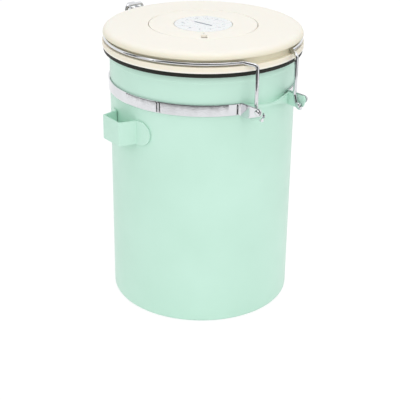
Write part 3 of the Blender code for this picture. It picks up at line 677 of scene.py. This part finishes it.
def refined(route):
    """Add points to the straight end runs of a route, so that their edges can curve."""
    points = [route[0]]
    for near, far in zip(route, route[1:]):
        straight = abs(near.x - far.x) < STRAIGHT_LIMIT
        count = max(1, math.ceil((far - near).length / (FINE_STEP if straight else COARSE_STEP)))
        points += [near.lerp(far, share / count) for share in range(1, count + 1)]
    return points


def wire(name, half):
    """Round wire along one half of a route in millimetres and its mirror image, with closed ends."""
    half = bent(half, WIRE_BEND, 10)
    route = steadied([Vector((-point.x, point.y, point.z)) for point in half[1:]][::-1] + half)
    curve = bpy.data.curves.new(name, "CURVE")
    curve.dimensions = "3D"
    curve.bevel_depth = WIRE * MM
    curve.bevel_resolution = 6
    curve.use_fill_caps = True
    spline = curve.splines.new("POLY")
    spline.points.add(len(route) - 1)
    for point, place in zip(spline.points, route):
        point.co = (*(place * MM), 1)
    spline.use_smooth = True
    curve.materials.append(CHROME)
    piece = bpy.data.objects.new(name, curve)
    bpy.context.scene.collection.objects.link(piece)
    return piece


def strip(name, stations, thickness, material, soften):
    """Sheet strip on edge. Each station is (x, y, low, high) in millimetres, on its middle surface."""
    shape = bmesh.new()
    rows = []
    for x, y, low, high in stations:
        heights = [low + (high - low) * share for share in STRIP_SHARES]
        rows.append([shape.verts.new((x * MM, y * MM, height * MM)) for height in heights])
    for near, far in zip(rows, rows[1:]):
        for index in range(len(near) - 1):
            shape.faces.new((near[index], far[index], far[index + 1], near[index + 1]))
    piece = finish_mesh(name, shape, material, FOLD_ANGLE)
    sheet = piece.modifiers.new("sheet", "SOLIDIFY")
    sheet.thickness = thickness * MM
    sheet.offset = 0
    sheet.use_even_offset = True
    edge = piece.modifiers.new("edge", "BEVEL")
    edge.width = soften * MM
    edge.segments = 2
    edge.limit_method = "ANGLE"
    edge.angle_limit = math.radians(FOLD_ANGLE)
    settle(piece, FOLD_ANGLE)
    return piece


def between(out, *corners):
    """Height of an edge at a distance out from the axis, straight from corner to corner."""
    for (near, low), (far, high) in zip(corners, corners[1:]):
        if out <= far:
            return low + (high - low) * max(out - near, 0) / (far - near)
    return corners[-1][1]


def bulge(out, centre, radius):
    """Half height of a round end at a distance out from the axis."""
    return math.sqrt(max(radius ** 2 - (out - centre) ** 2, LEAST_BULGE))


# Can

def make_can():
    """Painted can with a rolled rim and bare steel inside."""
    inner = BODY_RADIUS - BODY_WALL
    centre = (BODY_RADIUS - BASE_CORNER, BASE_CORNER)
    profile = [(FOOT_RADIUS, 0)]
    profile += arc(centre, BASE_CORNER, -90, 0, 9)
    profile += [(BODY_RADIUS, height) for height in WALL_HEIGHTS]
    profile += JOGGLE_CURVE
    profile += arc((RIM_RADIUS - RIM_CORNER, BODY_TOP - RIM_CORNER), RIM_CORNER, 0, 180, 8)
    profile += [(RIM_RADIUS - BODY_WALL, JOGGLE_TOP), (inner, JOGGLE_BOTTOM)]
    profile += arc(centre, BASE_CORNER - BODY_WALL, 0, -90, 7)
    profile += [(FOOT_RADIUS, BODY_WALL)]
    can = turned("can", profile, MINT, LARGE_SEGMENTS)
    can.data.materials.append(STEEL)
    for face in can.data.polygons:
        out = math.hypot(face.center.x, face.center.y)
        wall = out < (inner + BARE_MARGIN) * MM and face.center.z > 0.9 * BODY_WALL * MM
        mouth = out < (RIM_RADIUS - RIM_INSET) * MM and face.center.z > BAND_TOP * MM
        if wall or mouth:
            face.material_index = 1
    register(can, "canister", "mint_paint", "body_shell")


def ear_heights(out):
    """Lower and upper edge of an ear at a distance out from the can's axis."""
    tip_out, tip_height = PIVOT
    round_start = tip_out + EAR_ROUND_START
    rise = bulge(max(out, round_start), tip_out, EAR_TIP)
    low = between(out, EAR_LOW_START, (round_start, tip_height - rise))
    return low, between(out, EAR_HIGH_START, (round_start, tip_height + rise))


def make_band():
    """Strap and both ears as one strip, folded outward at the ears."""
    middle = BAND_INNER + BAND_SHEET / 2
    fold = math.degrees(math.asin(EAR_MIDDLE / middle))
    end = PIVOT[0] + EAR_TIP - END_INSET
    corners = [Vector((EAR_MIDDLE, -end, 0))]
    for step in range(BAND_STEPS + 1):
        corners.append(on_circle(middle, fold + (360 - 2 * fold) * step / BAND_STEPS, 0))
    corners.append(Vector((-EAR_MIDDLE, -end, 0)))
    stations = []
    for point in refined(bent(corners, BAND_BEND, 8)):
        out = -point.y
        low, high = BAND_BOTTOM, BAND_TOP
        if abs(point.x) <= EAR_MIDDLE + EAR_MARGIN and out >= 0:
            ear_low, ear_high = ear_heights(out)
            share = min(max((out - EAR_SPREAD_START) / EAR_SPREAD, 0), 1)
            low += (ear_low - low) * share
            high += (ear_high - high) * share
        stations.append((point.x, point.y, low, high))
    band = strip("band", stations, BAND_SHEET, CHROME, BAND_SOFT)
    register(band, "canister", "bright_steel", "band_strap")


def make_hook():
    """Scoop hook: a bent strip with half-round tabs on the can."""
    radius = BODY_RADIUS + HOOK_LIFT
    end = math.degrees(math.asin(HOOK_END / radius))
    fold = math.degrees(math.asin(HOOK_FOLD / radius))
    half = [on_circle(radius, end + (fold - end) * step / HOOK_STEPS, 0) for step in range(HOOK_STEPS + 1)]
    half.append(Vector((HOOK_FRONT, -BODY_RADIUS - HOOK_REACH, 0)))
    corners = half + [Vector((-point.x, point.y, 0)) for point in reversed(half)]
    route = bent(corners, HOOK_BEND, 5)
    lengths = [0.0]
    for near, far in zip(route, route[1:]):
        lengths.append(lengths[-1] + (far - near).length)
    turn = Matrix.Rotation(math.radians(HOOK_AZIMUTH), 3, "Z")
    stations = []
    for point, along in zip(route, lengths):
        inset = min(along, lengths[-1] - along, HOOK_HALF)
        rise = math.sqrt(max(HOOK_HALF ** 2 - (HOOK_HALF - inset) ** 2, HOOK_LEAST))
        spot = turn @ point
        stations.append((spot.x, spot.y, HOOK_MIDDLE - rise, HOOK_MIDDLE + rise))
    hook = strip("hook", stations, HOOK_SHEET, MINT, HOOK_SOFT)
    register(hook, "canister", "mint_paint", "scoop_hook")


def make_pin(name, side, place, profile, body, node):
    """Pin that lies along X, turned from a (radius, distance from the middle) outline."""
    pin = turned(name, profile, CHROME, PIN_SEGMENTS)
    stand = Matrix.Rotation(math.radians(90 * side), 4, "Y")
    pin.data.transform(Matrix.Translation((0, -place[0] * MM, place[1] * MM)) @ stand)
    register(pin, body, "bright_steel", node)


def make_pins():
    """Rivets of the ears and studs of the lever."""
    rivet = [
        (0, RIVET_START), (RIVET_SHANK, RIVET_START), (RIVET_SHANK, RIVET_SEAT), (RIVET_HEAD, RIVET_SEAT),
    ]
    rivet += arc((RIVET_HEAD - RIVET_CORNER, RIVET_END - RIVET_CORNER), RIVET_CORNER, 0, 90, 5)
    rivet.append((0, RIVET_END))
    stud = [(0, STUD_START)]
    stud += arc((STUD_RADIUS - STUD_CORNER, STUD_START + STUD_CORNER), STUD_CORNER, -90, 0, 4)
    stud += [(STUD_RADIUS, STUD_SEAT), (STUD_NECK, STUD_SEAT), (STUD_NECK, STUD_END), (0, STUD_END)]
    for word, side in (("left", -1), ("right", 1)):
        make_pin("rivet_" + word, side, PIVOT, rivet, "canister", "pivot_pin_" + word)
        make_pin("stud_" + word, side, CRANK, stud, "lever", "crank_pin_" + word)


def make_arch():
    """Wire arch that stands in the sleeves behind the can."""
    half = [
        Vector((0, HINGE[0], HINGE[1])), Vector((ARCH_LEG, HINGE[0], HINGE[1])),
        Vector((ARCH_LEG, HINGE[0], HINGE[1] - ARCH_KNEE)),
        Vector((ARCH_LEG, SLEEVE_OUT, HINGE[1] - ARCH_ANKLE)),
        Vector((ARCH_LEG, SLEEVE_OUT, BAND_BOTTOM + SLEEVE_FOOT)),
    ]
    register(wire("arch", half), "canister", "bright_steel", "hinge_arch")


# Lid

def make_ring():
    """One wire: curl round the arch, two arms in the groove, and a leg with a hook at each end."""
    rear = 180 - math.degrees(math.asin(CURL_LEG / RING_RADIUS))
    curl = arc(HINGE, LAP, CURL_START, -90, 6)
    start = math.radians(CURL_START)
    bar = (curl[0][0] - LAP * math.sin(start), curl[0][1] + LAP * math.cos(start))
    half = [Vector((0, *bar)), Vector((CURL_LEG, *bar))]
    half += [Vector((CURL_LEG, out, height)) for out, height in curl]
    half += [Vector((CURL_LEG, CURL_FOOT, HINGE[1] - LAP)), Vector((CURL_LEG, RING_REAR, RING_HEIGHT))]
    for step in range(RING_STEPS + 1):
        azimuth = rear + (RING_EXIT_AZIMUTH - rear) * step / RING_STEPS
        half.append(on_circle(RING_RADIUS, azimuth, RING_HEIGHT))
    half += [Vector((LEG_X, -LEG_OUT, LEG_TOP)), Vector((LEG_X, -LEG_OUT, LEG_SLANT_TOP))]
    half += [Vector((LEG_X, -out, height)) for out, height in arc(CRANK, LEG_HOOK_RADIUS, 195, 270, 12)]
    half.append(Vector((LEG_X, -CRANK[0] - HOOK_FOOT, CRANK[1] - LEG_HOOK_RADIUS)))
    register(wire("clamp_ring", half), "lid", "bright_steel", "ring_wire")


def make_cap():
    """Top shell with a swelling edge, a round recess and a spigot beneath."""
    cap = [(SPIGOT_OUTER, CAP_BOTTOM)]
    cap += arc((CAP_RADIUS - CAP_CORNER, CAP_BOTTOM + CAP_CORNER), CAP_CORNER, -90, 0, 4)
    for step in range(1, CAP_STEPS + 1):
        angle = math.radians(90 * step / CAP_STEPS)
        out = max(math.cos(angle), 0) ** (2 / CAP_POWER)
        rise = math.sin(angle) ** (2 / CAP_POWER)
        cap.append((CAP_RADIUS - CAP_REACH * (1 - out), CAP_BOTTOM + CAP_EDGE * rise))
    cap += CROWN_SLOPE
    cap += arc((RECESS_RADIUS + CAP_CORNER, CROWN_TOP - CAP_CORNER), CAP_CORNER, 90, 180, 5)
    cap += [
        (RECESS_RADIUS, RECESS_BOTTOM), (STEM_HOLE, RECESS_BOTTOM), (STEM_HOLE, RECESS_UNDER),
        (RECESS_SHELF, RECESS_UNDER), (RECESS_SHELF, CAP_CEILING), (SPIGOT_INNER, CAP_CEILING),
        (SPIGOT_INNER, SPIGOT_BOTTOM), (SPIGOT_OUTER, SPIGOT_BOTTOM),
    ]
    top_shell = turned("top_shell", cap, CAP_CREAM_PAINTED_SHADE, LARGE_SEGMENTS)
    register(top_shell, "lid", "cream_plastic", "lid_cap")


def make_lid_base():
    """Flange, neck for the wire and plug with the seat of the valve."""
    base = eased([
        (0, SEAT_BOTTOM), (SEAT_RADIUS, SEAT_BOTTOM), (SEAT_RADIUS, PLUG_BOTTOM),
        (PLUG_RADIUS, PLUG_BOTTOM), (PLUG_RADIUS + PLUG_LIP, PLUG_BOTTOM + PLUG_LIP),
        (PLUG_RADIUS + PLUG_LIP, PLUG_LIP_TOP),
        (PLUG_RADIUS, PLUG_LIP_TOP), (PLUG_RADIUS, FLANGE_BOTTOM), (FLANGE_RADIUS, FLANGE_BOTTOM),
        (FLANGE_RADIUS, FLANGE_TOP), (NECK_RADIUS, FLANGE_TOP), (NECK_RADIUS, NECK_TOP),
        (NECK_INNER, NECK_TOP), (NECK_INNER, FLANGE_TOP), (PLUG_INNER, FLANGE_TOP),
        (PLUG_INNER, PLUG_FLOOR), (SEAT_OUTER, PLUG_FLOOR), (SEAT_OUTER, SEAT_TOP), (0, SEAT_TOP),
    ], BASE_ROUND, 4)
    lid_base = turned("flange_and_plug", base, PALE_CREAM_PAINTED_LIGHT, LARGE_SEGMENTS)
    punch(lid_base, vent_cutter(SEAT_BOTTOM, SEAT_TOP, PALE_CREAM_PAINTED_LIGHT))
    register(lid_base, "lid", "cream_plastic", "lid_base")


def make_gasket():
    """Silicone ring under the flange."""
    inner = PLUG_RADIUS + GASKET_GAP
    gasket = eased([
        (inner, GASKET_BOTTOM), (GASKET_RADIUS, GASKET_BOTTOM),
        (GASKET_RADIUS, GASKET_TOP), (inner, GASKET_TOP),
    ], GASKET_ROUND, 5)
    seal = turned("seal", gasket, RUBBER, LARGE_SEGMENTS)
    register(seal, "lid", "black_silicone", "lid_gasket")


# Dials

def numerals(name, count, text, first, material):
    """Printed numbers from 1 on a circle, heads outward, as one thin mesh."""
    size, radius, height = text
    shape = bmesh.new()
    for index in range(count):
        curve = bpy.data.curves.new("numeral", "FONT")
        curve.body = str(index + 1)
        curve.size = size * MM
        curve.align_x = "CENTER"
        curve.align_y = "CENTER"
        curve.extrude = TEXT_THICKNESS * MM
        curve.resolution_u = 4
        holder = bpy.data.objects.new("numeral", curve)
        bpy.context.scene.collection.objects.link(holder)
        graph = bpy.context.evaluated_depsgraph_get()
        mesh = bpy.data.meshes.new_from_object(holder.evaluated_get(graph))
        angle = math.radians(first) - math.tau * index / count
        spot = Vector((radius * math.cos(angle), radius * math.sin(angle), height))
        mesh.transform(Matrix.Translation(spot * MM) @ Matrix.Rotation(angle - math.pi / 2, 4, "Z"))
        shape.from_mesh(mesh)
        bpy.data.objects.remove(holder)
        bpy.data.meshes.remove(mesh)
    return finish_mesh(name, shape, material, TEXT_ANGLE)


def make_day_ring():
    """Turning ring with a date window and a printed pointer."""
    ring = eased([
        (DAY_INNER, DIAL_BOTTOM), (DAY_OUTER, DIAL_BOTTOM), (DAY_OUTER, DIAL_TOP), (DAY_LIP, DIAL_TOP),
        (DAY_LIP, DAY_LIP_TOP), (DAY_INNER, DAY_LIP_TOP),
    ], DIAL_CORNER, 3)
    day = turned("day_dial_ring", ring, CREAM, DIAL_SEGMENTS)
    side = WINDOW_HALF - WINDOW_CORNER
    near, far = WINDOW_REACH[0] + WINDOW_CORNER, WINDOW_REACH[1] - WINDOW_CORNER
    window = []
    for x, y, first in ((side, -near, 0), (-side, -near, 90), (-side, -far, 180), (side, -far, 270)):
        window += arc((x, y), WINDOW_CORNER, first, first + 90, 4)
    punch(day, slab("window_cutter", window, WINDOW_AZIMUTH, *WINDOW_CUT, CREAM))
    register(day, "day_dial", "cream_plastic", "day_ring")
    pointer = slab("day_pointer", POINTER, WINDOW_AZIMUTH, DIAL_TOP, PRINT_THICKNESS, PALE_INK)
    register(pointer, "day_dial", "cream_plastic")


def make_month_disc():
    """White disc on a stem, with twelve numbers and a slim bar."""
    disc = eased([
        (0, STEM_BOTTOM), (STEM_RADIUS, STEM_BOTTOM), (STEM_RADIUS, DIAL_BOTTOM), (MONTH_HUB, DIAL_BOTTOM),
        (MONTH_HUB, MONTH_EDGE_BOTTOM), (MONTH_RADIUS, MONTH_EDGE_BOTTOM), (MONTH_RADIUS, DIAL_TOP),
        (0, DIAL_TOP),
    ], DIAL_CORNER, 4)
    month = turned("month_dial_disc", disc, WHITE, DIAL_SEGMENTS)
    register(month, "month_dial", "white_plastic", "month_disc")
    months = numerals("month_numerals", MONTHS, MONTH_TEXT, DIAL_TURN - 360 / MONTHS, GREY_INK)
    register(months, "month_dial", "white_plastic")
    outline = arc((BAR_HALF, 0), BAR_CORNER, -90, 90, 8) + arc((-BAR_HALF, 0), BAR_CORNER, 90, 270, 8)
    bar = slab("month_bar", outline, DIAL_TURN - 90, DIAL_TOP, PRINT_THICKNESS, GREY_INK)
    register(bar, "month_dial", "white_plastic")


def make_dates():
    """Day numbers on the date plate, one of them in the middle of the window at rest."""
    first = WINDOW_AZIMUTH - 90 + 360 * (DATE_SHOWN - 1) / DAYS
    dates = numerals("day_numerals", DAYS, DATE_TEXT, first, PALE_INK)
    register(dates, "lid", "white_plastic")


# Valve

def make_valve():
    """Grille that snaps into the plug, and the flap above it."""
    inner, outer = COVER_TUBE
    cover = eased([
        (0, COVER_BOTTOM), (COVER_RIM, COVER_BOTTOM), (COVER_RIM, COVER_FACE), (outer, COVER_FACE),
        (outer, COVER_TOP), (inner, COVER_TOP), (inner, COVER_FACE), (0, COVER_FACE),
    ], COVER_ROUND, 3)
    grille = turned("valve_grille", cover, WHITE, VALVE_SEGMENTS)
    punch(grille, vent_cutter(COVER_BOTTOM, COVER_FACE, WHITE))
    register(grille, "lid", "white_plastic", "valve_cover")
    flap = turned("valve_flap", eased(FLAP_OUTLINE, FLAP_ROUND, 3), RUBBER, VALVE_SEGMENTS)
    register(flap, "lid", "black_silicone", "valve_disc")


# Lever

def cheek_heights(out):
    """Lower and upper edge of a cheek of the lever, with a lobe round the stud."""
    crank_out, crank_height = CRANK
    pivot_out, pivot_height = PIVOT
    lobe_low = crank_height - bulge(min(max(out, LOBE_START), LOBE_END[0]), crank_out, CHEEK_LOBE)
    if out < LOBE_START:
        low = between(out, (CHEEK_LOW_START, LEVER_BOTTOM), (LOBE_START, lobe_low))
    elif out < LOBE_END[0]:
        low = lobe_low
    elif out < TIP_START[0]:
        low = between(out, LOBE_END, TIP_START)
    else:
        low = pivot_height - bulge(out, pivot_out, CHEEK_TIP)
    if out > TIP_TOP[0]:
        return low, pivot_height + bulge(out, pivot_out, CHEEK_TIP)
    return low, between(out, (CHEEK_HIGH_START, LEVER_TOP), TIP_TOP)


def make_lever():
    """Stirrup: a dished bar between two cheeks, folded from one strip."""
    middle = LEVER_INNER + LEVER_SHEET / 2
    reach = math.asin(CHEEK_MIDDLE / middle)
    end = PIVOT[0] + CHEEK_TIP - END_INSET
    corners = [Vector((CHEEK_MIDDLE, -end, 0))]
    for step in range(LEVER_STEPS + 1):
        corners.append(on_circle(middle, math.degrees(reach) * (1 - 2 * step / LEVER_STEPS), 0))
    corners.append(Vector((-CHEEK_MIDDLE, -end, 0)))
    stations = []
    for point in refined(bent(corners, LEVER_BEND, 6)):
        if abs(point.x) < CHEEK_MIDDLE - CHEEK_MARGIN:
            share = math.atan2(point.x, -point.y) / reach
            rise = (math.hypot(share, DISH_SHARE) - DISH_SHARE) / (math.hypot(1, DISH_SHARE) - DISH_SHARE)
            low = DISH_BOTTOM + (LEVER_BOTTOM - DISH_BOTTOM) * min(share ** 2, 1)
            high = DISH_TOP + (LEVER_TOP - DISH_TOP) * min(rise, 1)
        else:
            low, high = cheek_heights(-point.y)
        stations.append((point.x, point.y, low, high))
    stirrup = strip("lever_stirrup", stations, CHEEK_SHEET, MINT, CHEEK_SOFT)
    register(stirrup, "lever", "mint_paint", "latch_lever")


make_can()
make_band()
make_hook()
make_pins()
make_arch()
make_ring()
make_cap()
make_lid_base()
make_gasket()
make_day_ring()
make_month_disc()
make_dates()
make_valve()
make_lever()

for node, material in (
    ("base_plate", BRUSHED), ("hinge_bracket", CHROME), ("date_plate", PLATE),
    ("dial_clip", BRUSHED), ("valve_filter", FELT),
):
    NODES[node].data.materials.clear()
    NODES[node].data.materials.append(material)


# Stage

def seen(tree):
    """One where a ray comes from the camera, a reflection or clear material, else zero."""
    path = tree.nodes.new("ShaderNodeLightPath")
    total = path.outputs["Is Camera Ray"]
    for ray in ("Is Glossy Ray", "Is Transmission Ray"):
        join = tree.nodes.new("ShaderNodeMath")
        join.operation = "MAXIMUM"
        tree.links.new(total, join.inputs[0])
        tree.links.new(path.outputs[ray], join.inputs[1])
        total = join.outputs["Value"]
    return total


def make_world():
    """Soft light all round, with a brighter backdrop where it is seen."""
    world = bpy.data.worlds.new("studio")
    bpy.context.scene.world = world
    world.use_nodes = True
    tree = world.node_tree
    plain = tree.nodes["Background"]
    plain.inputs["Color"].default_value = (1, 1, 1, 1)
    plain.inputs["Strength"].default_value = WORLD_LIGHT
    bright = tree.nodes.new("ShaderNodeBackground")
    bright.inputs["Color"].default_value = (1, 1, 1, 1)
    bright.inputs["Strength"].default_value = BACKDROP_LIGHT
    mix = tree.nodes.new("ShaderNodeMixShader")
    tree.links.new(seen(tree), mix.inputs["Fac"])
    tree.links.new(plain.outputs["Background"], mix.inputs[1])
    tree.links.new(bright.outputs["Background"], mix.inputs[2])
    tree.links.new(mix.outputs["Shader"], tree.nodes["World Output"].inputs["Surface"])


def make_floor():
    """Pale floor that glows where it is seen, so that it melts into the backdrop."""
    shape = bmesh.new()
    bmesh.ops.create_grid(shape, x_segments=1, y_segments=1, size=FLOOR_SIZE)
    material = bpy.data.materials.new("pale_floor")
    material.use_nodes = True
    tree = material.node_tree
    shader = tree.nodes["Principled BSDF"]
    shader.inputs["Base Color"].default_value = linear("fafafa")
    shader.inputs["Roughness"].default_value = 0.8
    glow = tree.nodes.new("ShaderNodeEmission")
    glow.inputs["Color"].default_value = (1, 1, 1, 1)
    glow.inputs["Strength"].default_value = FLOOR_LIGHT
    share = tree.nodes.new("ShaderNodeMath")
    share.operation = "MULTIPLY"
    share.inputs[1].default_value = FLOOR_SHARE
    tree.links.new(seen(tree), share.inputs[0])
    mix = tree.nodes.new("ShaderNodeMixShader")
    tree.links.new(share.outputs["Value"], mix.inputs["Fac"])
    tree.links.new(shader.outputs["BSDF"], mix.inputs[1])
    tree.links.new(glow.outputs["Emission"], mix.inputs[2])
    tree.links.new(mix.outputs["Shader"], tree.nodes["Material Output"].inputs["Surface"])
    floor = finish_mesh("floor", shape, material)
    floor.location.z = -FLOOR_DROP


def area_light(name, azimuth, height, reach, size, power):
    """Square lamp that points at the can."""
    data = bpy.data.lights.new(name, "AREA")
    data.shape = "SQUARE"
    data.size = size
    data.energy = power
    lamp = bpy.data.objects.new(name, data)
    lamp.location = on_circle(reach, azimuth, height)
    lamp.rotation_euler = (LAMP_AIM - lamp.location).to_track_quat("-Z", "Y").to_euler()
    bpy.context.scene.collection.objects.link(lamp)


def flag(name, offset, width, rims, level):
    """Curved dark sheet between two (distance, height) rims about the can, which only reflections see."""
    shape = bmesh.new()
    count = max(1, round(width / SHEET_STEP))
    rows = []
    for step in range(count + 1):
        azimuth = VIEW_AZIMUTH + offset + width * (step / count - 0.5)
        rows.append([shape.verts.new(on_circle(reach, azimuth, height)) for reach, height in rims])
    for (first, second), (fourth, third) in zip(rows, rows[1:]):
        shape.faces.new((first, second, third, fourth))
    material = bpy.data.materials.new(name)
    material.use_nodes = True
    tree = material.node_tree
    glow = tree.nodes.new("ShaderNodeEmission")
    glow.inputs["Color"].default_value = (level, level, level, 1)
    tree.links.new(glow.outputs["Emission"], tree.nodes["Material Output"].inputs["Surface"])
    sheet = finish_mesh(name, shape, material)
    sheet.visible_camera = False
    sheet.visible_diffuse = False
    sheet.visible_shadow = False


def make_camera():
    """Camera that was fitted to the photograph."""
    data = bpy.data.cameras.new("camera")
    data.lens = LENS
    data.sensor_width = SENSOR
    camera = bpy.data.objects.new("camera", data)
    bpy.context.scene.collection.objects.link(camera)
    bpy.context.scene.camera = camera
    camera.location = on_circle(CAMERA_REACH, VIEW_AZIMUTH, CAMERA_HEIGHT)
    heading = Matrix.Rotation(math.radians(VIEW_AZIMUTH + CAMERA_SWING), 3, "Z")
    pitch = Matrix.Rotation(math.radians(90 - CAMERA_PITCH), 3, "X")
    roll = Matrix.Rotation(math.radians(CAMERA_ROLL), 3, "Z")
    camera.rotation_euler = (heading @ pitch @ roll).to_euler()


make_world()
make_floor()
area_light("key", azimuth=-10, height=0.75, reach=0.95, size=0.7, power=1.9)
area_light("fill", azimuth=-85, height=0.55, reach=1.1, size=0.8, power=1.3)
area_light("top", azimuth=-30, height=1.3, reach=0.25, size=0.7, power=2.5)
flag("camera_side", offset=0, width=104, rims=((0.95, 0.02), (0.95, 1.35)), level=0.09)
flag("left_side", offset=-86, width=20, rims=((0.95, 0.1), (0.95, 1.0)), level=0.05)
flag("table_edge", offset=-34, width=128, rims=((0.462, SHEET_HEIGHT), (0.94, SHEET_HEIGHT)), level=0.1)
flag("table_side", offset=118, width=52, rims=((0.478, SHEET_HEIGHT), (0.94, SHEET_HEIGHT)), level=0.1)
for index, offset in enumerate((-50.5, -47.3, 38.4, 41.6)):
    flag("slim_post_" + str(index), offset=offset, width=1.5, rims=((0.30, 0.0), (0.30, 0.25)), level=0.02)
make_camera()

bpy.context.scene.view_settings.view_transform = "Standard"
